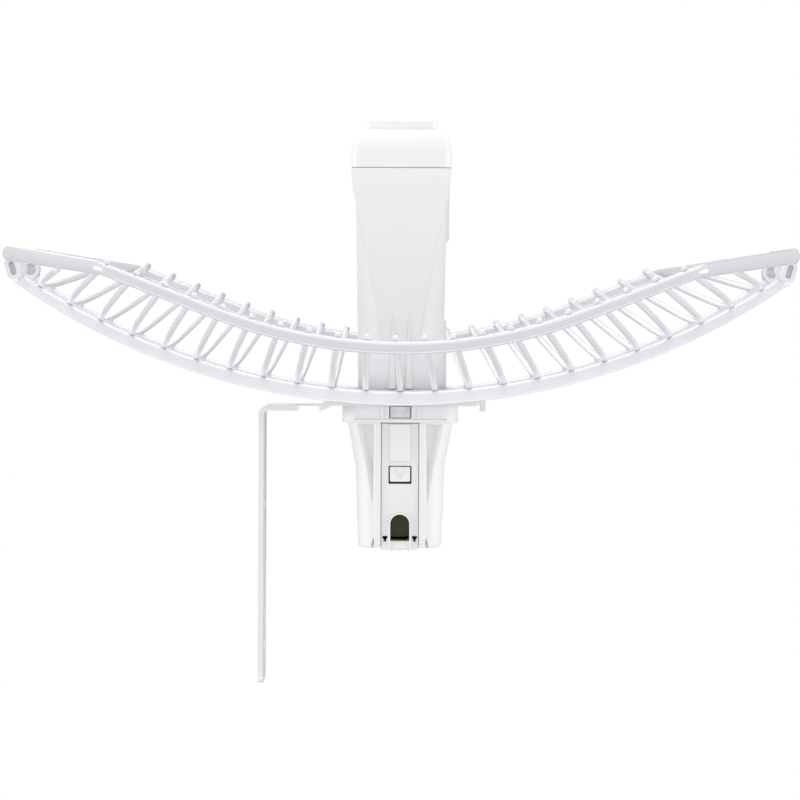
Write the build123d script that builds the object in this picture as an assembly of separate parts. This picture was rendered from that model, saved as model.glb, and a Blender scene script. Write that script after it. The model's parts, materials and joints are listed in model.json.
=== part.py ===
"""Parabolic grid antenna with a built-in radio, on a mast bracket.

Modelling frame, mm: X across the dish, Y from the feed back to the mast, Z up.
The radio's axis is the Y axis, the dish's vertex is at Y = 0 and the dish opens
towards -Y. Finished parts are moved so that the mast face becomes the origin.
"""

from build123d import *
import math
import os

# Reflector: the rim's centre line, seen along the radio's axis
RIM_HALF_WIDTH = 178.5
RIM_HALF_HEIGHT = 131.0
RIM_FLAT = 130.0  # half length of the straight runs at top and bottom
RIM_SIDE = 55.5  # half length of the upright runs at the sides
RIM_THICK = 5.0
RIM_ROUND = 8.0
# Reflector: how far the rim stands in front of the vertex
RIM_FRONT = 24.7
RIM_BEND_R = 226.0
RIM_BEND = 81.5  # the bend ends here and a straight run follows
RIM_CORNER_SLOPE = 0.1515
RIM_DEPTH_MIDDLE = 5.9
RIM_DEPTH_FLAT = 6.0
RIM_DEPTH_SIDE = 7.1

# Two ribs that cross behind the bars
RIB_Z = 32.0
RIB_THICK = 6.0
RIB_HALF_LENGTH = 178.0
RIB_FRONT_MIDDLE, RIB_FRONT_END = 3.3, 58.8
RIB_BACK_MIDDLE, RIB_BACK_END = -3.1, 53.0

# Upright bars: equal steps along the rib's curve, smaller equal steps on the rim
BAR_R = 1.45
BAR_END_R = 1.55
BARS_EACH_SIDE = 11
BAR_STEP_RIB = 15.82
BAR_STEP_RIM = 12.46
BAR_LEAN = -2.2  # every bar's ends sit a little to one side of its middle
BAR_SEAT = 1.2  # centre line in front of the metal that the bar is welded to
BARS_AT_HUB = 1  # bars up to this number from the middle stop at the hub

# Lugs that tie the rib ends to the rim's sides: oblong outside, round inside
LUG_SIZE = (6.4, 10.0)
LUG_TILT = 16.0
LUG_X, LUG_FRONT = 176.9, 59.0
LUG_Z = (27.0, 48.0)
LUG_BOSS_R, LUG_BOSS_LENGTH, LUG_BOSS_SHIFT = 4.1, 9.0, 1.0
LUG_BORE_R = 2.7
LUG_ROUND, LUG_SLOT_ROUND = 3.0, 1.1
LUG_SLOT, LUG_HOLE_DEPTH = (2.5, 6.2), 2.6

# Hub plate between the ribs
HUB_HALF_WIDTH = 30.0
HUB_Y = (-3.8, 1.1)
HUB_BORE_R = 21.2
KEY_NOTCH = (5.6, 22.2)  # width, reach from the axis

# Mast bracket: bent strip of steel
STRAP = 2.4
BEND_R = 2.0
LEG_X = -65.6  # outer face, against the mast
LEG_END_Y = 133.0
ARM_Y = 3.8  # front face of the arm
FLANGE_Y = 1.1  # front face of the flange that is screwed to the hub
JOGGLE_X, JOGGLE_SHIFT = (-37.0, -31.0), 0.6
SHOULDER_X, SHOULDER_ROUND, LEG_ROUND = -47.0, 6.0, 7.0
FLANGE_END_X = 35.3
STRIP_HALF_HEIGHT = 20.0
FLANGE_HALF_HEIGHT = 28.7
TAB_HALF_HEIGHT, TAB_END_X, TAB_END_Y = 8.0, 39.7, 6.6
MAST_Y = 84.0
UBOLT_SPACING, UBOLT_SLOT, UBOLT_R = 42.0, 12.0, 3.3
CLAMP_SLOT_SPACING, CLAMP_SLOT, CLAMP_SLOT_ROUND = 66.0, (5.2, 16.0), 1.5
SCREW_AT = (26.0, 24.6)
SCREW_R, SCREW_HOLE_R, SCREW_HEAD_R = 2.0, 2.3, 3.8
SCREW_HEAD, SCREW_REACH = 1.8, 3.6  # depth of the sunk head, depth into the hub plate
SCREW_SOCKET_R, SCREW_SOCKET_DEPTH = 1.6, 1.2

# Radio: outer tube, head and tail
TUBE_R_BACK, TUBE_R_FRONT = 19.7, 21.3
TUBE_Y = (3.6, -98.0)
CAVITY_R = 17.5
CAVITY_HALF = (20.3, 20.9)
CAVITY_Y = -97.0
WALL = 2.6
HEAD_HALF_WIDTH = 23.1
HEAD_HALF_HEIGHT = 25.5
SEAM_Y = -106.2
SEAL = 0.3
FLARE_Y = (-90.0, -102.0)
FACE_TIP = (8.6, -25.0)
FACE_MIDDLE = (15.9, -67.0)
FACE_TOP = (22.3, -96.0)
FACE_Z_TIP, FACE_Z_TOP, FACE_ROUND = 19.9, 23.4, 3.0
CAP_Y = -124.0
PLATE_HALF = (16.6, 18.0)
PLATE_Y = -129.2
WINDOW_Y, WINDOW_HALF_Z = (-96.0, -72.5), 5.0
WINDOW_SEAT_X, WINDOW_X, WINDOW_LEAD = 19.0, 22.4, 1.2
GUIDE_Y, GUIDE_HALF_Z = (-94.0, -74.5), 1.6
KEY_Y, KEY_HALF_Z, KEY_X, KEY_LEAD = (-36.5, 3.6), 2.5, 21.4, 1.4
FIN_Y, FIN_Z, FIN_X = (-42.5, -4.2), (-20.6, -21.4), (2.2, 3.7, 5.6)

COLLAR_Y = (3.6, 11.4)
COLLAR_HALF = (26.9, 22.5)
LIP_Y, LIP_HALF_WIDTH, LIP_Z = (9.9, 11.4), 21.5, -23.4
COLLAR_RIB_X, COLLAR_RIB_Z = ((-9.0, -7.6), (8.1, 9.5)), -23.0
TAIL_HALF_WIDTH = (24.4, 20.6, 19.3)
TAIL_Y = (11.4, 31.4, 69.6)
TAIL_HALF_HEIGHT, TAIL_ROUND, REAR_ROUND = 21.5, 9.0, 2.0
RAIL_X, RAIL_RISE = (8.9, 11.9), 0.7  # beside the door, proud of the tail
NOTCH = (1.8, 4.8)  # gap between a rail's end and the tail: width, length
POCKET_Y, POCKET_DEPTH, POCKET_RUN_OUT = (12.4, 56.0), 2.8, 24.0
POCKET_OUTER_X, POCKET_FLOOR_X = 22.0, 17.6

# Cable bay, its sliding door and the two press catches
BAY_Y = (19.0, 66.5)
DOOR_HALF_WIDTH, DOOR_Y, DOOR_Z = 8.6, (11.8, 70.3), (-20.7, -19.1)
TONGUE_HALF_WIDTH, TONGUE_Z = 9.6, (-19.7, -18.8)
RUN_GAP = 0.3
PANEL_HALF_WIDTH, PANEL_Y = 4.9, (12.2, 29.3)
LATCH_HALF_WIDTH, LATCH_Y = 5.3, (31.5, 39.8)
BUTTON_HALF_WIDTH, BUTTON_Y, BUTTON_Z = 4.7, (31.9, 38.8), (-21.1, -19.7)
ARROW_HALF_WIDTH, ARROW_STROKE, ARROW_RELIEF = 2.6, 0.9, 0.3
ARCH_HALF_WIDTH, ARCH_Y, ARCH_WALL = 4.4, (54.0, 66.3), 1.0
T_SLOT = (((5.7, 8.0), (64.0, 65.2)), ((6.2, 7.5), (65.2, 66.6)))  # bar and stem: x, y
GRIP_X, GRIP_REACH = (-4.1, 0.0, 4.1), 0.7
SLOT_HALF_WIDTH, SLOT_Y, SLOT_FLOOR_Z = 5.1, (3.6, 9.4), -18.9
CLIP_HALF_WIDTH, CLIP_Y, CLIP_Z = 4.6, (3.9, 9.1), (-22.3, -21.1)

# Boards and what they carry
CAN_Y, CAN_HALF_WIDTH, CAN_HEIGHT, CAN_SHEET = ((-42.0, -2.0), (6.0, 34.0)), 11.0, 3.6, 0.3
PAD_THICK, SPREADER_HALF_WIDTH, SPREADER_BASE, SPREADER_HEIGHT = 1.2, 9.5, 1.6, 5.0
COOLING_FINS, COOLING_FIN_PITCH = 6, 3.4
BOARD_HALF_WIDTH, BOARD_Y, BOARD_Z = 15.0, (-98.0, 65.5), (-1.9, -0.3)
FEED_Y = (-99.6, -98.0)
PATCH_AT, PATCH_HALF, POST_R, POST_LENGTH = 8.5, 6.0, 1.2, 4.0
JACK_HALF_WIDTH, JACK_Y, JACK_Z = 8.0, (19.0, 38.0), (-15.3, -1.9)
MOUTH_HALF_WIDTH, MOUTH_DEPTH, MOUTH_Z = 5.95, 13.0, (-12.4, -4.6)
MOUTH_KEY_HALF_WIDTH, MOUTH_KEY_Z = 3.2, -14.2
PIN_COUNT, PIN_PITCH, PIN_HALF_WIDTH = 8, 1.02, 0.18
RESET_AT = (-10.5, 52.0)
SWITCH_HEIGHT, SWITCH_HALF_WIDTH = 3.0, 3.0
PLUNGER_R, PLUNGER_GAP, PLUNGER_BORE = 1.5, 0.06, 1.8
PLUNGER_LENGTH, PLUNGER_SUNK = 2.6, 0.9
LED_Y = (-93.0, -90.0, -87.0, -84.0, -81.0, -78.0)

MAST_FACE = (LEG_X, MAST_Y, 0.0)


def rim_front(x):
    """Distance of the rim's centre line in front of the vertex."""
    x = abs(x)
    bent = min(x, RIM_BEND)
    rise = RIM_BEND_R - math.sqrt(RIM_BEND_R**2 - bent**2)
    slope = RIM_BEND / math.sqrt(RIM_BEND_R**2 - RIM_BEND**2)
    straight = min(max(x - RIM_BEND, 0.0), RIM_FLAT - RIM_BEND)
    corner = max(x - RIM_FLAT, 0.0)
    return RIM_FRONT + rise + straight * slope + corner * RIM_CORNER_SLOPE


def rim_depth(x):
    """Depth of the rim's section along Y."""
    x = abs(x)
    if x < RIM_FLAT:
        share = x / RIM_FLAT
        return RIM_DEPTH_MIDDLE + share * (RIM_DEPTH_FLAT - RIM_DEPTH_MIDDLE)
    share = (x - RIM_FLAT) / (RIM_HALF_WIDTH - RIM_FLAT)
    return RIM_DEPTH_FLAT + share * (RIM_DEPTH_SIDE - RIM_DEPTH_FLAT)


def rib_face(x):
    """Distance of the ribs' front face in front of the vertex."""
    rise = RIB_FRONT_END - RIB_FRONT_MIDDLE
    radius = (RIB_HALF_LENGTH**2 + rise**2) / (2 * rise)
    return RIB_FRONT_MIDDLE + radius - math.sqrt(radius**2 - x**2)


def swept_edge(half):
    """Arc over the middle, then straight runs; half lists (x, y) from x = 0."""
    middle, *right = half
    left = [(-x, y) for x, y in right]
    edge = ThreePointArc(left[0], middle, right[0])
    for run in (right, left):
        for start, end in zip(run, run[1:]):
            edge += Line(start, end)
    return edge


def band(front, back):
    """Face between two edges that are mirrored about x = 0."""
    (xf, yf), (xb, yb) = front[-1], back[-1]
    ends = Line((xf, yf), (xb, yb)) + Line((-xf, yf), (-xb, yb))
    return make_face(swept_edge(front) + swept_edge(back) + ends)


def block(x, y, z, rounding=0.0):
    """Box between two limits on each axis, its Y-parallel edges rounded."""
    size = [high - low for low, high in (x, y, z)]
    centre = [(low + high) / 2 for low, high in (x, y, z)]
    made = Pos(*centre) * Box(*size)
    if rounding:
        made = fillet(made.edges().filter_by(Axis.Y), rounding)
    return made


def across(y):
    """Plane square to the radio's axis: local x is X, local y is Z, out is -Y."""
    return Plane(origin=(0, y, 0), x_dir=(1, 0, 0), z_dir=(0, -1, 0))


def cone(y0, r0, y1, r1):
    """Round body along the radio's axis."""
    return loft([across(y0) * Circle(r0), across(y1) * Circle(r1)])


def rim_frame():
    reach = RIM_HALF_WIDTH + RIM_THICK
    stations = (0, RIM_BEND, RIM_FLAT, reach)
    front = [(x, -rim_front(x) - rim_depth(x) / 2) for x in stations]
    back = [(x, -rim_front(x) + rim_depth(x) / 2) for x in stations]
    side_view = extrude(band(front, back), amount=RIM_HALF_HEIGHT + RIM_THICK, both=True)
    corners = [
        (RIM_FLAT, RIM_HALF_HEIGHT),
        (RIM_HALF_WIDTH, RIM_SIDE),
        (RIM_HALF_WIDTH, -RIM_SIDE),
        (RIM_FLAT, -RIM_HALF_HEIGHT),
    ]
    corners += [(-x, z) for x, z in reversed(corners)]
    outline = make_face(Polyline(*corners, close=True))
    outline = fillet(outline.vertices(), RIM_ROUND)
    outer = offset(outline, RIM_THICK / 2)
    inner = offset(outline, -RIM_THICK / 2)
    depth = rim_front(reach) + RIM_DEPTH_SIDE
    return extrude(Plane.XZ * (outer - inner), amount=depth) & side_view


def rib(height):
    front = [(0, -RIB_FRONT_MIDDLE), (RIB_HALF_LENGTH, -RIB_FRONT_END)]
    back = [(0, -RIB_BACK_MIDDLE), (RIB_HALF_LENGTH, -RIB_BACK_END)]
    return Pos(0, 0, height) * extrude(band(front, back), amount=RIB_THICK / 2, both=True)


def bar_point(number, z):
    """Point on a bar's centre line: x and y both change with z squared."""
    span = RIM_HALF_HEIGHT**2 - RIB_Z**2
    share = (z**2 - RIB_Z**2) / span
    rise = RIB_FRONT_END - RIB_FRONT_MIDDLE
    radius = (RIB_HALF_LENGTH**2 + rise**2) / (2 * rise)
    turn = number * BAR_STEP_RIB / radius
    x_rib = radius * math.sin(turn)
    x_rim = number * BAR_STEP_RIM + BAR_LEAN
    y_rib = rib_face(x_rib) + BAR_SEAT / math.cos(turn)
    y_rim = rim_front(x_rim) + rim_depth(x_rim) / 2 + BAR_SEAT
    x = x_rib + share * (x_rim - x_rib)
    y = y_rib + share * (y_rim - y_rib)
    return Vector(x, -y, z)


def bar_top(number):
    """Height where a bar meets the rim: lower on the slanted corner runs."""
    z = RIM_HALF_HEIGHT
    fall = (RIM_HALF_HEIGHT - RIM_SIDE) / (RIM_HALF_WIDTH - RIM_FLAT)
    while abs(bar_point(number, z).X) > RIM_FLAT + (RIM_HALF_HEIGHT - z) / fall:
        z -= 0.5
    return z


def bar(number, low, high):
    start, middle, end = (bar_point(number, z) for z in (low, (low + high) / 2, high))
    path = ThreePointArc(start, middle, end)
    section = Plane(origin=path @ 0, z_dir=path % 0) * Circle(BAR_R)
    rod = sweep(section, path)
    for tip in (start, end):
        rod += Pos(*tip) * Sphere(BAR_END_R)
    return rod


def bars_beside_hub(side):
    numbers = range(BARS_AT_HUB + 1, BARS_EACH_SIDE + 1)
    tops = [(side * number, bar_top(side * number)) for number in numbers]
    return [bar(number, -top, top) for number, top in tops]


def bars_at_hub(side):
    numbers = range(-BARS_AT_HUB, BARS_AT_HUB + 1)
    limits = sorted((side * (RIB_Z - RIB_THICK / 4), side * RIM_HALF_HEIGHT))
    return [bar(number, *limits) for number in numbers]


def rib_end_lugs():
    low, high = LUG_Z
    lugs = []
    for side in (-1, 1):
        place = Pos(side * LUG_X, -LUG_FRONT) * Rot(0, 0, side * LUG_TILT)
        section = RectangleRounded(*LUG_SIZE, LUG_ROUND)
        body = extrude(Pos(0, 0, low) * place * section, amount=high - low)
        boss_place = Pos(side * (LUG_X - LUG_BOSS_SHIFT), -LUG_FRONT, low)
        body += extrude(boss_place * Circle(LUG_BOSS_R), amount=LUG_BOSS_LENGTH)
        body -= extrude(boss_place * Circle(LUG_BORE_R), amount=LUG_HOLE_DEPTH)
        slot = Pos(0, 0, high) * place * RectangleRounded(*LUG_SLOT, LUG_SLOT_ROUND)
        body -= extrude(slot, amount=-LUG_HOLE_DEPTH)
        lugs += [body, body.mirror(Plane.XY)]
    return lugs


def radio_passage():
    """Round hole for the radio, with a notch for its guide key."""
    bore = cone(-9, HUB_BORE_R, 9, HUB_BORE_R)
    width, reach = KEY_NOTCH
    return bore + block((0, reach), (-9, 9), (-width / 2, width / 2))


def hub_plate():
    limit = RIB_Z - RIB_THICK / 2
    plate = block((-HUB_HALF_WIDTH, HUB_HALF_WIDTH), HUB_Y, (-limit, limit))
    plate -= radio_passage()
    for x, z in screw_places():
        plate -= extrude(across(HUB_Y[1]) * Pos(x, z) * Circle(SCREW_R), amount=SCREW_REACH)
    return plate


def screw_places():
    x, z = SCREW_AT
    return [(sx * x, sz * z) for sx in (-1, 1) for sz in (-1, 1)]


def nearest_upright(shape, x, y):
    return shape.edges().filter_by(Axis.Z).sort_by_distance((x, y, 0))[0]


def mast_bracket():
    low, high = JOGGLE_X
    back_arm, back_flange = ARM_Y + STRAP, FLANGE_Y + STRAP
    outline = [
        (LEG_X, LEG_END_Y),
        (LEG_X, ARM_Y),
        (low - JOGGLE_SHIFT, ARM_Y),
        (high - JOGGLE_SHIFT, FLANGE_Y),
        (TAB_END_X, FLANGE_Y),
        (TAB_END_X, TAB_END_Y),
        (TAB_END_X - STRAP, TAB_END_Y),
        (TAB_END_X - STRAP, back_flange),
        (high, back_flange),
        (low, back_arm),
        (LEG_X + STRAP, back_arm),
        (LEG_X + STRAP, LEG_END_Y),
    ]
    profile = make_face(Polyline(*outline, close=True))
    strip = extrude(profile, amount=FLANGE_HALF_HEIGHT, both=True)
    strip = fillet(nearest_upright(strip, LEG_X, ARM_Y), BEND_R + STRAP)
    strip = fillet(nearest_upright(strip, LEG_X + STRAP, back_arm), BEND_R)
    seen_from_mast = make_face(Polyline(
        (LEG_X - 1, STRIP_HALF_HEIGHT),
        (SHOULDER_X, STRIP_HALF_HEIGHT),
        (low, FLANGE_HALF_HEIGHT),
        (FLANGE_END_X, FLANGE_HALF_HEIGHT),
        (FLANGE_END_X, TAB_HALF_HEIGHT),
        (TAB_END_X + 1, TAB_HALF_HEIGHT),
        (TAB_END_X + 1, -TAB_HALF_HEIGHT),
        (FLANGE_END_X, -TAB_HALF_HEIGHT),
        (FLANGE_END_X, -FLANGE_HALF_HEIGHT),
        (low, -FLANGE_HALF_HEIGHT),
        (SHOULDER_X, -STRIP_HALF_HEIGHT),
        (LEG_X - 1, -STRIP_HALF_HEIGHT),
        close=True,
    ))
    rounded = seen_from_mast.vertices().filter_by(lambda point: point.X < low + 1)
    seen_from_mast = fillet(rounded.filter_by(lambda point: point.X > LEG_X), SHOULDER_ROUND)
    plan = extrude(across(LEG_END_Y + 1) * seen_from_mast, amount=LEG_END_Y + 10)
    bracket = strip & plan
    across_leg = bracket.edges().filter_by(Axis.X)
    corners = across_leg.filter_by(lambda edge: edge.center().Y > LEG_END_Y - 1)
    bracket = fillet(corners, LEG_ROUND)
    bracket -= radio_passage()
    for x, z in screw_places():
        bracket -= extrude(across(back_flange) * Pos(x, z) * Circle(SCREW_HOLE_R), amount=STRAP)
        bracket -= sunk_head(x, z)
    toward_mast = Plane(origin=(LEG_X - 1, MAST_Y, 0), x_dir=(0, 1, 0), z_dir=(1, 0, 0))
    for side in (-1, 1):
        bolt = Pos(side * UBOLT_SPACING / 2, 0) * SlotOverall(UBOLT_SLOT, 2 * UBOLT_R)
        clamp = Pos(side * CLAMP_SLOT_SPACING / 2, 0) * RectangleRounded(*CLAMP_SLOT, CLAMP_SLOT_ROUND)
        bracket -= extrude(toward_mast * bolt, amount=STRAP + 2)
        bracket -= extrude(toward_mast * clamp, amount=STRAP + 2)
    return bracket


def sunk_head(x, z):
    """Cone of a countersunk screw, flush with the back of the flange."""
    back = FLANGE_Y + STRAP
    return Pos(x, 0, z) * cone(back, SCREW_HEAD_R, back - SCREW_HEAD, SCREW_R)


def bracket_screws():
    back = FLANGE_Y + STRAP
    neck = back - SCREW_HEAD
    screws = []
    for x, z in screw_places():
        shank = across(neck) * Pos(x, z) * Circle(SCREW_R)
        screw = sunk_head(x, z) + extrude(shank, amount=neck - HUB_Y[1] + SCREW_REACH)
        socket = across(back) * Pos(x, z) * RegularPolygon(SCREW_SOCKET_R, 6)
        screws.append(screw - extrude(socket, amount=SCREW_SOCKET_DEPTH))
    return screws


def head_plan():
    """Head and its tapering flat faces, seen from below."""
    right = [FACE_TIP, FACE_MIDDLE, FACE_TOP, (HEAD_HALF_WIDTH, SEAM_Y)]
    left = [(-x, y) for x, y in reversed(right)]
    face = make_face(Polyline(*right, *left, close=True))
    tips = face.vertices().filter_by(lambda point: point.Y > FACE_TIP[1] - 1)
    return fillet(tips, FACE_ROUND)


def radio_head():
    plan = extrude(head_plan(), amount=HEAD_HALF_HEIGHT + 5, both=True)
    upper = [
        (0, FACE_TIP[1], FACE_Z_TIP),
        (0, FLARE_Y[0], FACE_Z_TOP),
        (0, FLARE_Y[1], HEAD_HALF_HEIGHT),
        (0, SEAM_Y, HEAD_HALF_HEIGHT),
    ]
    lower = [(x, y, -z) for x, y, z in reversed(upper)]
    side = make_face(Polyline(*upper, *lower, close=True))
    return plan & extrude(side, amount=HEAD_HALF_WIDTH + 5, both=True, dir=(1, 0, 0))


def radio_tail():
    """Squarish body behind the collar: a funnel and then a slow taper."""
    sections = [
        across(y) * RectangleRounded(2 * width, 2 * TAIL_HALF_HEIGHT, TAIL_ROUND)
        for y, width in zip(TAIL_Y, TAIL_HALF_WIDTH)
    ]
    body = loft(sections[:2], ruled=True) + loft(sections[1:], ruled=True)
    rear = body.edges().filter_by(lambda edge: edge.center().Y > TAIL_Y[2] - 0.01)
    body = fillet(rear, REAR_ROUND)
    for side in (-1, 1):
        body -= tail_pocket(side)
        body += door_rail(side)
        body -= rail_notch(side)
    return body


def door_rail(side):
    """Ridge along the door's edge, its two long edges bevelled."""
    x = sorted(side * x for x in RAIL_X)
    top = -TAIL_HALF_HEIGHT - RAIL_RISE
    rail = block(x, (COLLAR_Y[1], TAIL_Y[2] - REAR_ROUND), (top, -TAIL_HALF_HEIGHT + 1))
    crest = rail.edges().filter_by(Axis.Y).filter_by(lambda edge: edge.center().Z < top + 0.01)
    return chamfer(crest, RAIL_RISE * 0.8)


def rail_notch(side):
    """Thin wedge that frees the end of a rail from the tail."""
    width, length = NOTCH
    foot, end = RAIL_X[1] + 0.1, TAIL_Y[2] + 1
    wedge = [(foot, end - length - 1), (foot, end), (foot + width, end)]
    outline = make_face(Polyline(*[(side * x, y) for x, y in wedge], close=True))
    return Pos(0, 0, -TAIL_HALF_HEIGHT - 1) * extrude(outline, amount=POCKET_DEPTH + 1)


def tail_pocket(side):
    """Three-cornered recess beside a door rail; its outer wall slants."""
    near, far = POCKET_Y
    inner = RAIL_X[1] + 0.4
    mouth = [(inner, near), (POCKET_OUTER_X + 1, near), (inner + 0.5, far)]
    floor = [(inner, near), (POCKET_FLOOR_X, near), (inner + 0.3, far - POCKET_RUN_OUT)]
    faces = []
    for z, outline in ((-TAIL_HALF_HEIGHT - 1, mouth), (-TAIL_HALF_HEIGHT + POCKET_DEPTH, floor)):
        faces.append(make_face(Polyline(*[(side * x, y, z) for x, y in outline], close=True)))
    return loft(faces, ruled=True)


def guide_fins():
    """Two pointed fins on the underside of the tube, thicker towards the hub."""
    tip, base = FIN_Y
    rise = [(0, tip, FIN_Z[0]), (0, base, FIN_Z[1]), (0, base, -CAVITY_R), (0, tip, -CAVITY_R)]
    rise = make_face(Polyline(*rise, close=True))
    side_view = extrude(rise, amount=FIN_X[2], both=True, dir=(1, 0, 0))
    fins = []
    for side in (-1, 1):
        inner, point, outer = (side * x for x in FIN_X)
        plan = make_face(Polyline((point, tip), (inner, base), (outer, base), close=True))
        fins += extrude(plan, amount=HEAD_HALF_HEIGHT, both=True) & side_view
    return fins


def board_rails():
    rails = []
    for low, high in ((BOARD_Z[0] - 1.8, BOARD_Z[0] - 0.1), (BOARD_Z[1] + 0.1, BOARD_Z[1] + 1.6)):
        for side in (-1, 1):
            x = sorted((side * (BOARD_HALF_WIDTH - 1.2), side * (CAVITY_R + 0.6)))
            rails.append(block(x, (BOARD_Y[0] + 32, BOARD_Y[1] - 2), (low, high)))
    return rails


def radio_housing():
    body = cone(TUBE_Y[0] + 1, TUBE_R_BACK, TUBE_Y[1], TUBE_R_FRONT) + radio_head()
    width, height = COLLAR_HALF
    body += block((-width, width), COLLAR_Y, (-height, height), TAIL_ROUND)
    body += block((-LIP_HALF_WIDTH, LIP_HALF_WIDTH), LIP_Y, (LIP_Z, 0))
    body += radio_tail()
    key = block((0, KEY_X), KEY_Y, (-KEY_HALF_Z, KEY_HALF_Z))
    body += chamfer(nearest_upright(key, KEY_X, KEY_Y[0]), KEY_LEAD)
    body += guide_fins()
    for x in COLLAR_RIB_X:
        body += block(x, COLLAR_Y, (COLLAR_RIB_Z, 0))
    body -= cone(BAY_Y[1], CAVITY_R - 0.3, CAVITY_Y - 3, CAVITY_R + 0.3)
    width, height = CAVITY_HALF
    body -= block((-width, width), (SEAM_Y - 1, CAVITY_Y), (-height, height), 4)
    body += board_rails()
    body -= window_block()
    guide_y = (GUIDE_Y[0] - RUN_GAP, GUIDE_Y[1] + RUN_GAP)
    guide_half = GUIDE_HALF_Z + RUN_GAP
    body -= block((WINDOW_SEAT_X - 4, WINDOW_SEAT_X), guide_y, (-guide_half, guide_half))
    return body - bay_cuts()


def bay_cuts():
    """Everything cut from the underside of the tail, and the catch's slot."""
    inner = RAIL_X[0]
    past = DOOR_Y[1] + 2
    outside = -TAIL_HALF_HEIGHT - 6
    bay = block((-inner, inner), BAY_Y, (outside, -12))
    near = COLLAR_Y[1] + 0.1
    seat = block((-inner, inner), (near, past), (outside, TONGUE_Z[1] + RUN_GAP))
    groove_x = TONGUE_HALF_WIDTH + RUN_GAP
    groove_z = (TONGUE_Z[0] - RUN_GAP, TONGUE_Z[1] + RUN_GAP)
    groove = block((-groove_x, groove_x), (near, past), groove_z)
    slot = block((-SLOT_HALF_WIDTH, SLOT_HALF_WIDTH), SLOT_Y, (outside, SLOT_FLOOR_Z))
    return bay + seat + groove + slot


def window_block():
    return block((WINDOW_SEAT_X, WINDOW_X), WINDOW_Y, (-WINDOW_HALF_Z, WINDOW_HALF_Z))


def light_window():
    window = window_block()
    return chamfer(nearest_upright(window, WINDOW_X, WINDOW_Y[1]), WINDOW_LEAD)


def light_guide():
    x = (BOARD_HALF_WIDTH + 0.2, WINDOW_SEAT_X)
    return block(x, GUIDE_Y, (-GUIDE_HALF_Z, GUIDE_HALF_Z))


def head_edge(half_size):
    """Outline of the cap along one axis: straight, then curving in to the front."""
    start = Line((half_size, SEAM_Y - SEAL), (half_size + 0.1, SEAM_Y - 6))
    bend = ThreePointArc(start @ 1, (half_size - 0.8, SEAM_Y - 12.5), (half_size - 3.2, CAP_Y))
    return start + bend


def cap_block():
    plan_edge = head_edge(HEAD_HALF_WIDTH)
    side_edge = head_edge(HEAD_HALF_HEIGHT)
    shapes = []
    for edge, half in ((plan_edge, HEAD_HALF_WIDTH), (side_edge, HEAD_HALF_HEIGHT)):
        other = edge.mirror(Plane.YZ)
        ends = Line((half, SEAM_Y - SEAL), (-half, SEAM_Y - SEAL))
        ends += Line((half - 3.2, CAP_Y), (-half + 3.2, CAP_Y))
        face = make_face(edge + other + ends)
        shapes.append(extrude(face, amount=40, both=True))
    return shapes[0] & Rot(0, 90, 0) * shapes[1]


def feed_cap():
    cap = cap_block()
    corners = cap.edges().filter_by(
        lambda edge: abs(edge.center().X) > 18 and abs(edge.center().Z) > 18
    )
    cap = fillet(corners, 4.0)
    width, height = CAVITY_HALF
    return cap - block((-width, width), (CAP_Y + WALL, SEAM_Y), (-height, height), 4)


def head_gasket():
    width, height = HEAD_HALF_WIDTH - 0.5, HEAD_HALF_HEIGHT - 0.5
    ring = block((-width, width), (SEAM_Y - SEAL, SEAM_Y), (-height, height), 4)
    width, height = CAVITY_HALF
    return ring - block((-width, width), (SEAM_Y - 1, SEAM_Y + 1), (-height, height), 4)


def front_plate():
    width, height = PLATE_HALF
    plate = block((-width, width), (PLATE_Y, CAP_Y), (-height, height), 2.5)
    front = plate.edges().filter_by(lambda edge: edge.center().Y < PLATE_Y + 0.01)
    return chamfer(front, 1.2)


def sub_reflector():
    return block((-17, 17), (CAP_Y + WALL, CAP_Y + WALL + 1.0), (-18, 18), 2)


def feed_board():
    return block((-17.5, 17.5), FEED_Y, (-17.5, 17.5), 2)


def feed_patches():
    """Square radiators on posts, one over each quarter of the feed board."""
    patches = []
    half, top = PATCH_HALF, FEED_Y[0] - POST_LENGTH
    for x in (-PATCH_AT, PATCH_AT):
        for z in (-PATCH_AT, PATCH_AT):
            plate = block((x - half, x + half), (top - 0.5, top), (z - half, z + half))
            post = extrude(across(FEED_Y[0]) * Pos(x, z) * Circle(POST_R), amount=POST_LENGTH + 0.2)
            patches.append(plate + post)
    return patches


def main_board():
    width = BOARD_HALF_WIDTH
    return block((-width, width), BOARD_Y, BOARD_Z)


def shield_cans():
    """Covers of thin sheet, open towards the board."""
    cans = []
    half, low, high = CAN_HALF_WIDTH, BOARD_Z[1], BOARD_Z[1] + CAN_HEIGHT
    for near, far in CAN_Y:
        outer = block((-half, half), (near, far), (low, high))
        inner_y = (near + CAN_SHEET, far - CAN_SHEET)
        inner = block((CAN_SHEET - half, half - CAN_SHEET), inner_y, (low, high - CAN_SHEET))
        cans.append(outer - inner)
    return cans


def thermal_pad():
    near, far = CAN_Y[0]
    low = BOARD_Z[1] + CAN_HEIGHT
    return block((-8, 8), (near + 4, far - 4), (low, low + PAD_THICK))


def heat_spreader():
    y = (CAN_Y[0][0] + 2, CAN_Y[0][1] - 2)
    low = BOARD_Z[1] + CAN_HEIGHT + PAD_THICK
    top = low + SPREADER_BASE
    made = block((-SPREADER_HALF_WIDTH, SPREADER_HALF_WIDTH), y, (low, top))
    for step in range(COOLING_FINS):
        x = 0.5 - SPREADER_HALF_WIDTH + step * COOLING_FIN_PITCH
        made += block((x, x + 1.0), y, (top, low + SPREADER_HEIGHT))
    return made


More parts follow.
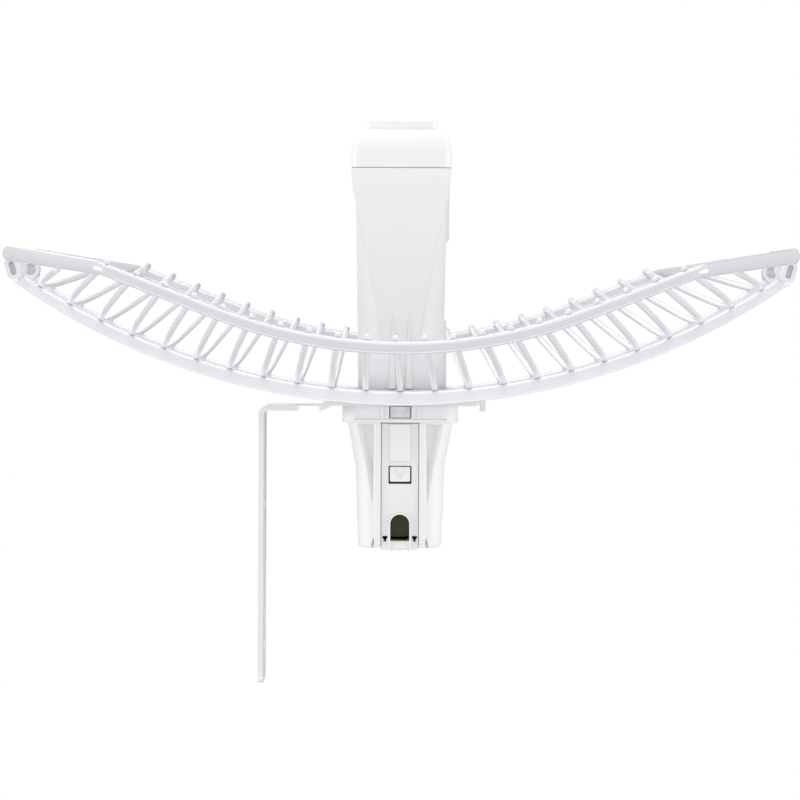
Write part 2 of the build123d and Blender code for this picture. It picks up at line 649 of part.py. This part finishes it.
def ethernet_jack():
    width = JACK_HALF_WIDTH
    jack = block((-width, width), JACK_Y, JACK_Z)
    depth = (JACK_Y[1] - MOUTH_DEPTH, JACK_Y[1] + 1)
    mouth = block((-MOUTH_HALF_WIDTH, MOUTH_HALF_WIDTH), depth, MOUTH_Z)
    key = block((-MOUTH_KEY_HALF_WIDTH, MOUTH_KEY_HALF_WIDTH), depth, (MOUTH_KEY_Z, MOUTH_Z[0]))
    return jack - mouth - key


def jack_contacts():
    pins = []
    y = (JACK_Y[1] - MOUTH_DEPTH + 1, JACK_Y[1] - 3)
    for number in range(PIN_COUNT):
        x = (number - (PIN_COUNT - 1) / 2) * PIN_PITCH
        pins.append(block((x - PIN_HALF_WIDTH, x + PIN_HALF_WIDTH), y, (MOUTH_Z[1] - 0.7, MOUTH_Z[1])))
    return pins


def reset_switch():
    x, y = RESET_AT
    low, half = BOARD_Z[0] - SWITCH_HEIGHT, SWITCH_HALF_WIDTH
    body = block((x - half, x + half), (y - half, y + half), (low, BOARD_Z[0]))
    bore = Circle(PLUNGER_R + PLUNGER_GAP)
    return body - extrude(Pos(x, y, low) * bore, amount=PLUNGER_BORE)


def reset_button():
    x, y = RESET_AT
    top = BOARD_Z[0] - SWITCH_HEIGHT + PLUNGER_SUNK
    return extrude(Pos(x, y, top) * Circle(PLUNGER_R), amount=-PLUNGER_LENGTH)


def status_leds():
    x, high = BOARD_HALF_WIDTH - 1.0, (BOARD_Z[1], BOARD_Z[1] + 0.8)
    return [block((x - 0.8, x + 0.8), (y - 0.6, y + 0.6), high) for y in LED_Y]


def arch(half_width, top_y, end_y):
    """Cable exit: round at the front, square at the back."""
    round_end = Pos(0, top_y + half_width) * Circle(half_width)
    middle = (top_y + half_width + end_y) / 2
    return round_end + Pos(0, middle) * Rectangle(2 * half_width, end_y - top_y - half_width)


def cable_door():
    outer, inner = DOOR_Z
    width, tongue = DOOR_HALF_WIDTH, TONGUE_HALF_WIDTH
    door = block((-width, width), DOOR_Y, DOOR_Z)
    door += block((-tongue, tongue), (DOOR_Y[0] + 1, TAIL_Y[2] - 1), TONGUE_Z)
    door += block((-PANEL_HALF_WIDTH, PANEL_HALF_WIDTH), PANEL_Y, (outer - 0.7, outer))
    wall = arch(ARCH_HALF_WIDTH + ARCH_WALL, ARCH_Y[0] - ARCH_WALL, DOOR_Y[1] - 0.3)
    door += Pos(0, 0, outer - 1.2) * extrude(wall, amount=1.6)
    hole = arch(ARCH_HALF_WIDTH, ARCH_Y[0], ARCH_Y[1])
    door -= Pos(0, 0, outer - 4) * extrude(hole, amount=8)
    foot = ARCH_HALF_WIDTH - 0.3
    door -= block((-foot, foot), (ARCH_Y[1] + 0.6, DOOR_Y[1] + 1), (outer - 4, outer - 0.4))
    door -= block((-LATCH_HALF_WIDTH, LATCH_HALF_WIDTH), LATCH_Y, (outer - 4, inner + 4))
    through = (outer - 1, inner + 2)
    for side in (-1, 1):
        for reach, y in T_SLOT:
            x = sorted(side * x for x in reach)
            door -= block(x, y, through)
    for x in GRIP_X:
        door += block((x - 0.5, x + 0.5), (DOOR_Y[1], DOOR_Y[1] + GRIP_REACH), (outer, inner))
    return door


def door_latch():
    outer, inner = BUTTON_Z
    button = block((-BUTTON_HALF_WIDTH, BUTTON_HALF_WIDTH), BUTTON_Y, BUTTON_Z)
    near, far = BUTTON_Y[0] + 1.0, BUTTON_Y[1] - 1.0
    for side in (-1, 1):
        wide, thin = side * ARROW_HALF_WIDTH, side * (ARROW_HALF_WIDTH - ARROW_STROKE)
        stroke = [(wide, near), (thin, near), (0, far - 1.2 * ARROW_STROKE), (0, far)]
        arrow = make_face(Polyline(*stroke, close=True))
        button += Pos(0, 0, outer - ARROW_RELIEF) * extrude(arrow, amount=2 * ARROW_RELIEF)
    return fillet(button.edges().filter_by(Axis.Z).sort_by(Axis.Y)[-2:], 0.6)


def retaining_clip():
    clip = block((-CLIP_HALF_WIDTH, CLIP_HALF_WIDTH), CLIP_Y, CLIP_Z)
    return clip + block((-2.5, 2.5), (CLIP_Y[0], CLIP_Y[0] + 1.4), (CLIP_Z[0] - 0.8, CLIP_Z[0]))


PARTS = {
    "rim_frame": rim_frame,
    "rib_lower": lambda: rib(-RIB_Z),
    "rib_upper": lambda: rib(RIB_Z),
    "grid_bars_left": lambda: bars_beside_hub(-1),
    "grid_bars_right": lambda: bars_beside_hub(1),
    "grid_bars_lower_middle": lambda: bars_at_hub(-1),
    "grid_bars_upper_middle": lambda: bars_at_hub(1),
    "rib_end_lugs": rib_end_lugs,
    "hub_plate": hub_plate,
    "mast_bracket": mast_bracket,
    "bracket_screws": bracket_screws,
    "radio_housing": radio_housing,
    "feed_cap": feed_cap,
    "head_gasket": head_gasket,
    "front_plate": front_plate,
    "sub_reflector": sub_reflector,
    "feed_board": feed_board,
    "feed_patches": feed_patches,
    "main_board": main_board,
    "shield_cans": shield_cans,
    "thermal_pad": thermal_pad,
    "heat_spreader": heat_spreader,
    "ethernet_jack": ethernet_jack,
    "jack_contacts": jack_contacts,
    "reset_switch": reset_switch,
    "reset_button": reset_button,
    "status_leds": status_leds,
    "light_guide": light_guide,
    "light_window": light_window,
    "cable_door": cable_door,
    "door_latch": door_latch,
    "retaining_clip": retaining_clip,
}


def write_parts():
    os.makedirs("parts", exist_ok=True)
    to_mast_face = Pos(*(-value for value in MAST_FACE))
    for name, build in PARTS.items():
        made = build()
        if isinstance(made, list):
            made = Compound([solid for piece in made for solid in piece.solids()])
        export_step(to_mast_face * made, f"parts/{name}.step")


if __name__ == "__main__":
    write_parts()
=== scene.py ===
"""Looks of the parabolic grid antenna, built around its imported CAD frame. Metres."""

import json
import math

import bmesh
import bpy
from mathutils import Matrix, Vector
from mathutils.bvhtree import BVHTree

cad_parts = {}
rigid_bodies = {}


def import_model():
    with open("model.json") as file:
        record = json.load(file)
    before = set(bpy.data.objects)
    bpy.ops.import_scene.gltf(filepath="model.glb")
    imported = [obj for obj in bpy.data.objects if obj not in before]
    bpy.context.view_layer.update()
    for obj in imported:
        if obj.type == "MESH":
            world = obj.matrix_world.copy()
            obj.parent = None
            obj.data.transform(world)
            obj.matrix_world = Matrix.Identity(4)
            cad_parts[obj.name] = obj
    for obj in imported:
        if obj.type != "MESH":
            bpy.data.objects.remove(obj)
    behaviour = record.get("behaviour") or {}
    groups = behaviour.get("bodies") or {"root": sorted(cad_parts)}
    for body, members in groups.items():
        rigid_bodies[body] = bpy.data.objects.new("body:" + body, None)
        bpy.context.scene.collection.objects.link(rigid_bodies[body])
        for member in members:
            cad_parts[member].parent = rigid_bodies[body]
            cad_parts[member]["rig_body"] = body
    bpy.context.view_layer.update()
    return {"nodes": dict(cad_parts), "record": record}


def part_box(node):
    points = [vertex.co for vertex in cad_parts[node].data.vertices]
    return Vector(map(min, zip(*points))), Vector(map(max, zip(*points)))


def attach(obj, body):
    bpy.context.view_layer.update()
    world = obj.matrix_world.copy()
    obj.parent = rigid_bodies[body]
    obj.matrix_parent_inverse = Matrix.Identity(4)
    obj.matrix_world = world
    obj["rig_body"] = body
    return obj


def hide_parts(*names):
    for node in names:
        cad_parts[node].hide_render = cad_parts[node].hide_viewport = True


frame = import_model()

MM = 0.001
NODES = frame["nodes"]
SLOTS = {part["node"]: part["material_slot"] for part in frame["record"]["subparts"]}

# The reflector's vertex, which lies inside the hub plate, at height 0
VERTEX_BEFORE_HUB_BACK = 1.1 * MM
HUB_LOW, HUB_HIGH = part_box("hub_plate")
AXIS_X = (HUB_LOW.x + HUB_HIGH.x) / 2
VERTEX_Y = HUB_HIGH.y - VERTEX_BEFORE_HUB_BACK

# The rim: its outer size, its bar, and half the length of its level and its upright runs
RIM_LOW, RIM_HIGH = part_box("rim_frame")
RIM_BAR = 5.0 * MM
RIM_FLAT = 130.0 * MM
RIM_SIDE = 55.5 * MM
RIM_ROUND = 8.0 * MM
RIM_ROUND_STEPS = 8
RIM_STEP = 4.0 * MM
RIM_SQUARENESS = 2.1
OVAL_STEPS = 32

# The ribs; each end stops just short of the CAD's, where rays still meet the CAD's rib
RIB_NODES = ["rib_lower", "rib_upper"]
RIB_ROUND = 1.5 * MM
RIB_ROUND_STEPS = 4
RIB_SHORT = 0.02 * MM
RIB_STATIONS = 120

# The upright wires; the first and last cuts lie a little inside the CAD's ends
WIRE_NODES = [
    "grid_bars_left",
    "grid_bars_right",
    "grid_bars_lower_middle",
    "grid_bars_upper_middle",
]
WIRE_R = 1.45 * MM
WIRE_END = 0.6 * MM
WIRE_STATIONS = 40
WIRE_SIDES = 20

# Vertices closer than this are one, and rays start this far off
WELD = 0.01 * MM
CAST_FROM = 1.0

# Surfaces: noise in cycles per metre, bumps as (depth in metres, strength)
SLOW_DETAIL, WORN_DETAIL, WORN_FINER = 4.0, 5.0, 2.7
PEEL_NOISE, PEEL_BUMP = 900.0, (0.00003, 0.12)
SPECK_NOISE, SPECK_BUMP = 4200.0, (0.00001, 0.08)
FLOW_NOISE, FLOW_BUMP, FLOW_STRETCH = 60.0, (0.00008, 0.12), (1.0, 0.25, 1.0)
STROKE_NOISE, STROKE_BUMP = 700.0, (0.00002, 0.4)
GRAIN_STRENGTH = 0.3
COAT_NOISE, PLASTIC_NOISE, METAL_NOISE, FLOOR_NOISE = 38.0, 22.0, 90.0, 1.5
EDGE_SAMPLES = 6
PLASTIC_EDGE = 0.6 * MM
METAL_EDGE = 0.2 * MM

# The floor, and how brightly the world and the floor light the scene
FLOOR_WIDTH = 60.0
FLOOR_Z = -4.2
FLOOR_GLOW = 0.26
WORLD_TINT = (0.97, 0.98, 1.0)
WORLD_LIGHT = 0.51

# The camera, in millimetres for its lens and sensor; its place counts from the vertex
LENS, SENSOR = 174.1, 36.0
CAMERA_PLACE = (0.00085, -0.0481, -1.8105)
CAMERA_TURN = (math.pi - 0.0274, -0.0007, -0.0049)
CAMERA_REACH = 200.0

# Name, place from the vertex, width and height in metres, watts
LIGHTS = [
    ("front_strip", (0.0, -2.0, 0.1), (2.4, 0.4), 18.0),
    ("back_strip", (0.0, 2.0, -0.2), (2.4, 0.5), 11.0),
    ("front_low", (0.0, -1.8, -1.2), (2.0, 0.8), 7.0),
    ("left_low", (-1.9, 0.0, -0.6), (0.8, 1.6), 16.0),
    ("right_low", (1.9, 0.0, -0.6), (0.8, 1.6), 15.0),
    ("top", (-0.6, -0.8, 2.2), (1.6, 1.6), 7.0),
]
LIGHT_TARGET = (0.0, -0.04, 0.0)


# Materials


def shader_of(material):
    return material.node_tree.nodes["Principled BSDF"]


def new_material(name, color, roughness, **sockets):
    """Plain material; a further socket is named with underscores for its spaces."""
    material = bpy.data.materials.new(name)
    material.use_nodes = True
    inputs = shader_of(material).inputs
    inputs["Base Color"].default_value = (*color, 1.0)
    inputs["Roughness"].default_value = roughness
    for socket, value in sockets.items():
        inputs[socket.replace("_", " ")].default_value = value
    return material


def add_noise(material, scale, detail, stretch=(1.0, 1.0, 1.0)):
    """Noise over the object's own coordinates."""
    tree = material.node_tree
    coordinates = tree.nodes.new("ShaderNodeTexCoord")
    mapping = tree.nodes.new("ShaderNodeMapping")
    mapping.inputs["Scale"].default_value = stretch
    noise = tree.nodes.new("ShaderNodeTexNoise")
    noise.inputs["Scale"].default_value = scale
    noise.inputs["Detail"].default_value = detail
    tree.links.new(coordinates.outputs["Object"], mapping.inputs["Vector"])
    tree.links.new(mapping.outputs["Vector"], noise.inputs["Vector"])
    return noise.outputs["Fac"]


def add_ramp(material, value, low, high):
    """Spreads the middle of a noise's range from one colour to another."""
    ramp = material.node_tree.nodes.new("ShaderNodeValToRGB")
    first, last = ramp.color_ramp.elements
    first.position, last.position = 0.3, 0.7
    first.color, last.color = (*low, 1.0), (*high, 1.0)
    material.node_tree.links.new(value, ramp.inputs["Fac"])
    return ramp.outputs["Color"]


def add_bumps(material, edge_radius, heights):
    """Chains bumps, over softened edges if there is an edge radius.

    heights lists (value, depth, strength).
    """
    tree = material.node_tree
    normal = None
    if edge_radius:
        edges = tree.nodes.new("ShaderNodeBevel")
        edges.samples = EDGE_SAMPLES
        edges.inputs["Radius"].default_value = edge_radius
        normal = edges.outputs["Normal"]
    for value, depth, strength in heights:
        bump = tree.nodes.new("ShaderNodeBump")
        bump.inputs["Distance"].default_value = depth
        bump.inputs["Strength"].default_value = strength
        tree.links.new(value, bump.inputs["Height"])
        if normal:
            tree.links.new(normal, bump.inputs["Normal"])
        normal = bump.outputs["Normal"]
    tree.links.new(normal, shader_of(material).inputs["Normal"])


def grey(value):
    return (value, value, value)


def darker(color, share):
    return tuple(channel * share for channel in color)


def vary(material, scale, dark, light, rough_low, rough_high):
    """Slow change of colour, and a finer one of roughness, over the surface."""
    tree = material.node_tree
    inputs = shader_of(material).inputs
    slow = add_noise(material, scale, SLOW_DETAIL)
    tree.links.new(add_ramp(material, slow, dark, light), inputs["Base Color"])
    worn = add_noise(material, scale * WORN_FINER, WORN_DETAIL)
    rough = add_ramp(material, worn, grey(rough_low), grey(rough_high))
    tree.links.new(rough, inputs["Roughness"])


def powder_coat(name, color, gloss=0.6, gloss_ior=1.5, edge_radius=0.0):
    """Sprayed paint: soft orange peel, a thin gloss layer and fine specks."""
    material = new_material(
        name, color, 0.36, Coat_Weight=gloss, Coat_Roughness=0.16, Coat_IOR=gloss_ior
    )
    vary(material, COAT_NOISE, darker(color, 0.965), color, 0.30, 0.42)
    peel = add_noise(material, PEEL_NOISE, 2.0)
    specks = add_noise(material, SPECK_NOISE, 1.0)
    add_bumps(material, edge_radius, [(peel, *PEEL_BUMP), (specks, *SPECK_BUMP)])
    return material


def moulded_plastic(name, color, rough, grain=2600.0, grain_depth=0.00003):
    """Injection-moulded plastic with a fine spark-eroded grain."""
    material = new_material(name, color, rough, Specular_IOR_Level=0.42)
    vary(material, PLASTIC_NOISE, darker(color, 0.97), color, rough - 0.05, rough + 0.06)
    fine = add_noise(material, grain, 3.0)
    flow = add_noise(material, FLOW_NOISE, 2.0, FLOW_STRETCH)
    heights = [(flow, *FLOW_BUMP), (fine, grain_depth, GRAIN_STRENGTH)]
    add_bumps(material, PLASTIC_EDGE, heights)
    return material


def brushed_metal(name, color, rough, stretch):
    """Metal with fine strokes, longest along the axis with the smallest stretch."""
    material = new_material(name, color, rough, Metallic=1.0, Anisotropic=0.4)
    vary(material, METAL_NOISE, darker(color, 0.86), color, rough - 0.06, rough + 0.1)
    strokes = add_noise(material, STROKE_NOISE, 4.0, stretch)
    add_bumps(material, METAL_EDGE, [(strokes, *STROKE_BUMP)])
    return material


MATERIALS = {
    "grid_coat": powder_coat("grid_coat", (0.82, 0.826, 0.865), 1.0, 1.8),
    "bracket_coat": powder_coat("bracket_coat", (0.80, 0.80, 0.812), edge_radius=METAL_EDGE),
    "housing_plastic": moulded_plastic("housing_plastic", (0.845, 0.848, 0.845), 0.42),
    "cap_plastic": moulded_plastic("cap_plastic", (0.85, 0.853, 0.853), 0.36, 3200.0, 0.00002),
    "latch_plastic": moulded_plastic("latch_plastic", (0.86, 0.862, 0.86), 0.4),
    "jack_plastic": moulded_plastic("jack_plastic", (0.035, 0.033, 0.03), 0.4),
    "button_plastic": moulded_plastic("button_plastic", (0.22, 0.22, 0.23), 0.45),
    "seal_rubber": moulded_plastic("seal_rubber", (0.52, 0.52, 0.53), 0.7),
    "pad_silicone": moulded_plastic("pad_silicone", (0.38, 0.44, 0.5), 0.65),
    "led_lens": moulded_plastic("led_lens", (0.7, 0.82, 0.7), 0.25),
    "clear_plastic": moulded_plastic("clear_plastic", (0.86, 0.88, 0.88), 0.2),
    "screw_steel": brushed_metal("screw_steel", (0.62, 0.62, 0.64), 0.32, (1.0, 1.0, 1.0)),
    "clip_steel": brushed_metal("clip_steel", (0.82, 0.82, 0.84), 0.5, (12.0, 0.6, 1.0)),
    "can_steel": brushed_metal("can_steel", (0.68, 0.68, 0.68), 0.35, (0.6, 10.0, 1.0)),
    "bare_aluminium": brushed_metal("bare_aluminium", (0.72, 0.73, 0.75), 0.36, (8.0, 0.6, 8.0)),
    "patch_brass": brushed_metal("patch_brass", (0.75, 0.58, 0.26), 0.3, (4.0, 1.0, 4.0)),
    "board_laminate": moulded_plastic("board_laminate", (0.34, 0.27, 0.16), 0.35),
}

# The grid's one paint has three tones, which paints shade into it: the rim is painted darker and
# the wires a little darker than the ribs, because rim, ribs and wires catch these lights
# differently
RIM_SHADED_COAT = powder_coat("rim_coat_painted_shade", (0.67, 0.68, 0.72), 1.0, 2.0)
WIRE_SHADED_COAT = powder_coat("wire_coat_painted_shade", (0.79, 0.797, 0.83), 1.0, 1.6)


def dress_cad_nodes():
    for node, piece in NODES.items():
        piece.data.materials.clear()
        piece.data.materials.append(MATERIALS[SLOTS[node]])


# Pieces swept again over the CAD's rim, ribs and wires


def finish_piece(piece, node, material):
    """Gives a new piece its material and its body, and hides the CAD node that it stands for."""
    piece.data.materials.append(material)
    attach(piece, NODES[node]["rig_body"])
    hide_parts(node)


def rounded_section(half_wide, front, back, rounding):
    """Outline of a rectangle with round corners: u across the bar, v from front to back."""
    reach = half_wide - rounding
    centres = [
        (reach, back - rounding),
        (-reach, back - rounding),
        (-reach, front + rounding),
        (reach, front + rounding),
    ]
    outline = []
    for quarter, (u_centre, v_centre) in enumerate(centres):
        for step in range(RIB_ROUND_STEPS + 1):
            turn = math.radians(90.0) * (quarter + step / RIB_ROUND_STEPS)
            u = u_centre + rounding * math.cos(turn)
            v = v_centre + rounding * math.sin(turn)
            outline.append((u, v))
    return outline


def oval_section(half_wide, front, back, squareness):
    """Outline between an ellipse, which has squareness 2, and a rectangle."""
    half_deep, middle = (back - front) / 2, (back + front) / 2
    outline = []
    for step in range(OVAL_STEPS):
        turn = 2 * math.pi * step / OVAL_STEPS
        across, along = math.cos(turn), math.sin(turn)
        u = half_wide * math.copysign(abs(across) ** (2 / squareness), across)
        v = half_deep * math.copysign(abs(along) ** (2 / squareness), along)
        outline.append((u, middle + v))
    return outline


def skins(name, runs, closed):
    """Surfaces through runs of rings of points; an open run is capped at both ends."""
    edit = bmesh.new()
    for rings in runs:
        made = [[edit.verts.new(point) for point in ring] for ring in rings]
        pairs = list(zip(made, made[1:]))
        if closed:
            pairs.append((made[-1], made[0]))
        else:
            edit.faces.new(made[0])
            edit.faces.new(made[-1])
        for ring, following in pairs:
            for index in range(len(ring)):
                after = (index + 1) % len(ring)
                edit.faces.new((ring[index], ring[after], following[after], following[index]))
    bmesh.ops.recalc_face_normals(edit, faces=edit.faces)
    mesh = bpy.data.meshes.new(name)
    edit.to_mesh(mesh)
    edit.free()
    for face in mesh.polygons:
        face.use_smooth = True
    piece = bpy.data.objects.new(name, mesh)
    bpy.context.scene.collection.objects.link(piece)
    return piece


def mean_x(shell):
    return sum(start.x + stop.x for start, stop in shell) / len(shell)


def shells(node):
    """Edges of each separate shell of a CAD node, as pairs of end points, from -X to +X."""
    edit = bmesh.new()
    edit.from_mesh(NODES[node].data)
    bmesh.ops.remove_doubles(edit, verts=edit.verts, dist=WELD)
    waiting = set(edit.verts)
    found = []
    while waiting:
        reached = [waiting.pop()]
        edges = set()
        while reached:
            vertex = reached.pop()
            for edge in vertex.link_edges:
                edges.add(edge)
                neighbour = edge.other_vert(vertex)
                if neighbour in waiting:
                    waiting.remove(neighbour)
                    reached.append(neighbour)
        found.append([(edge.verts[0].co.copy(), edge.verts[1].co.copy()) for edge in edges])
    edit.free()
    return sorted(found, key=mean_x)


def middle_of_cut(shell, height):
    """Middle of the outline in which a level plane cuts a shell."""
    across, along = [], []
    for start, stop in shell:
        if (start.z - height) * (stop.z - height) < 0:
            place = start.lerp(stop, (height - start.z) / (stop.z - start.z))
            across.append(place.x)
            along.append(place.y)
    return Vector(((min(across) + max(across)) / 2, (min(along) + max(along)) / 2, height))


def depth_reader(node):
    """Gives a function that finds a CAD node's front and back, by rays along Y."""
    mesh = NODES[node].data
    points = [vertex.co.copy() for vertex in mesh.vertices]
    tree = BVHTree.FromPolygons(points, [tuple(face.vertices) for face in mesh.polygons])

    def read(x, z):
        front = tree.ray_cast(Vector((x, -CAST_FROM, z)), Vector((0, 1, 0)))[0]
        back = tree.ray_cast(Vector((x, CAST_FROM, z)), Vector((0, -1, 0)))[0]
        return front.y, back.y

    return read


def rim_path():
    """The rim's centre line from the vertex: points of x and z, with their inward directions."""
    half_width = (RIM_HIGH.x - RIM_LOW.x) / 2 - RIM_BAR / 2
    half_height = RIM_HIGH.z - RIM_BAR / 2
    corners = [
        (RIM_FLAT, half_height),
        (half_width, RIM_SIDE),
        (half_width, -RIM_SIDE),
        (RIM_FLAT, -half_height),
    ]
    corners += [(-x, z) for x, z in reversed(corners)]
    corners = [Vector(corner) for corner in corners]
    path = []
    for index, corner in enumerate(corners):
        arriving = corners[(index + 1) % len(corners)]
        before = (corners[index - 1] - corner).normalized()
        after = (arriving - corner).normalized()
        half_turn = before.angle(after) / 2
        run = RIM_ROUND / math.tan(half_turn)
        centre = corner + (before + after).normalized() * RIM_ROUND / math.sin(half_turn)
        leaving = corner + after * run
        start = corner + before * run - centre
        turn = start.angle_signed(leaving - centre)
        for step in range(RIM_ROUND_STEPS + 1):
            point = centre + Matrix.Rotation(-turn * step / RIM_ROUND_STEPS, 2) @ start
            path.append((point, (centre - point).normalized()))
        inward = (centre - leaving).normalized()
        length = (arriving - leaving).length - run
        count = max(2, round(length / RIM_STEP))
        for step in range(1, count):
            path.append((leaving + after * (length * step / count), inward))
    return path


def build_rim():
    """Bar of oval section, as deep at each place as the CAD's bar is there."""
    read = depth_reader("rim_frame")
    rings = []
    for point, inward in rim_path():
        front, back = read(AXIS_X + point.x, point.y)
        ring = []
        for u, v in oval_section(RIM_BAR / 2, front, back, RIM_SQUARENESS):
            ring.append((AXIS_X + point.x + inward.x * u, v, point.y + inward.y * u))
        rings.append(ring)
    # The rim takes the darker tone of the grid paint, a painted shade
    finish_piece(skins("rim_bar", [rings], True), "rim_frame", RIM_SHADED_COAT)


def build_rib(node):
    """Flat bar with round edges, as deep at each place as the CAD's rib is there."""
    low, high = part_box(node)
    height = (low.z + high.z) / 2
    half_thick = (high.z - low.z) / 2
    end = (high.x - low.x) / 2 - RIB_SHORT
    read = depth_reader(node)
    rings = []
    for step in range(RIB_STATIONS + 1):
        x = AXIS_X - end + 2 * end * step / RIB_STATIONS
        front, back = read(x, height)
        section = rounded_section(half_thick, front, back, RIB_ROUND)
        rings.append([(x, v, height + u) for u, v in section])
    finish_piece(skins(node + "_bar", [rings], False), node, MATERIALS[SLOTS[node]])


def wire_rings(line):
    """Circles around a line of points, square to it."""
    rings = []
    for index, centre in enumerate(line):
        before, after = line[max(index - 1, 0)], line[min(index + 1, len(line) - 1)]
        along = (after - before).normalized()
        across = along.cross(Vector((0, 1, 0))).normalized()
        outward = across.cross(along)
        ring = []
        for side in range(WIRE_SIDES):
            turn = 2 * math.pi * side / WIRE_SIDES
            ring.append(centre + WIRE_R * (across * math.cos(turn) + outward * math.sin(turn)))
        rings.append(ring)
    return rings


def build_wires(node):
    """Round wires; each one follows the centre line of a CAD wire."""
    wires = []
    for shell in shells(node):
        heights = [point.z for edge in shell for point in edge]
        low, high = min(heights) + WIRE_END, max(heights) - WIRE_END
        rise = high - low
        levels = [low + rise * step / WIRE_STATIONS for step in range(WIRE_STATIONS + 1)]
        wires.append(wire_rings([middle_of_cut(shell, level) for level in levels]))
    # The wires take a slightly darker tone of the grid paint, a painted shade
    finish_piece(skins(node + "_wires", wires, False), node, WIRE_SHADED_COAT)


# Stage, camera and light


def from_vertex(across, along, up):
    return (AXIS_X + across, VERTEX_Y + along, up)


def build_camera():
    """Below the antenna, looking up, with the feed towards the top of the frame."""
    data = bpy.data.cameras.new("camera")
    data.sensor_width = SENSOR
    data.lens = LENS
    data.clip_end = CAMERA_REACH
    camera = bpy.data.objects.new("camera", data)
    bpy.context.scene.collection.objects.link(camera)
    camera.location = from_vertex(*CAMERA_PLACE)
    camera.rotation_euler = CAMERA_TURN
    bpy.context.scene.camera = camera


def build_floor():
    """Pale floor with a faint glow, which keeps it pale and lights the antenna from below."""
    bpy.ops.mesh.primitive_plane_add(size=FLOOR_WIDTH, location=(0, 0, FLOOR_Z))
    floor = bpy.context.object
    floor.name = "floor"
    material = new_material("floor_paper", grey(0.93), 0.8)
    vary(material, FLOOR_NOISE, grey(0.91), grey(0.94), 0.75, 0.85)
    inputs = shader_of(material).inputs
    inputs["Emission Color"].default_value = (1.0, 1.0, 1.0, 1.0)
    inputs["Emission Strength"].default_value = FLOOR_GLOW
    floor.data.materials.append(material)


def build_world():
    """White to the eye; a softer white as a source of light."""
    world = bpy.data.worlds.new("studio")
    bpy.context.scene.world = world
    world.use_nodes = True
    tree = world.node_tree
    tree.nodes.clear()
    seen = tree.nodes.new("ShaderNodeBackground")
    seen.inputs["Color"].default_value = (1.0, 1.0, 1.0, 1.0)
    seen.inputs["Strength"].default_value = 1.0
    light = tree.nodes.new("ShaderNodeBackground")
    light.inputs["Color"].default_value = (*WORLD_TINT, 1.0)
    light.inputs["Strength"].default_value = WORLD_LIGHT
    path = tree.nodes.new("ShaderNodeLightPath")
    mix = tree.nodes.new("ShaderNodeMixShader")
    output = tree.nodes.new("ShaderNodeOutputWorld")
    tree.links.new(path.outputs["Is Camera Ray"], mix.inputs["Fac"])
    tree.links.new(light.outputs["Background"], mix.inputs[1])
    tree.links.new(seen.outputs["Background"], mix.inputs[2])
    tree.links.new(mix.outputs["Shader"], output.inputs["Surface"])


def build_lights():
    """Strips in front and behind draw the outline; low panels fill the side that is seen."""
    target = Vector(from_vertex(*LIGHT_TARGET))
    for name, place, size, power in LIGHTS:
        data = bpy.data.lights.new(name, "AREA")
        data.shape = "RECTANGLE"
        data.size, data.size_y = size
        data.energy = power
        light = bpy.data.objects.new(name, data)
        bpy.context.scene.collection.objects.link(light)
        light.location = from_vertex(*place)
        aim = target - Vector(from_vertex(*place))
        light.rotation_euler = aim.to_track_quat("-Z", "Y").to_euler()
        light.visible_camera = False


bpy.context.scene.view_settings.view_transform = "Standard"
build_camera()
build_floor()
build_world()
build_lights()
dress_cad_nodes()
build_rim()
for rib_node in RIB_NODES:
    build_rib(rib_node)
for wire_node in WIRE_NODES:
    build_wires(wire_node)
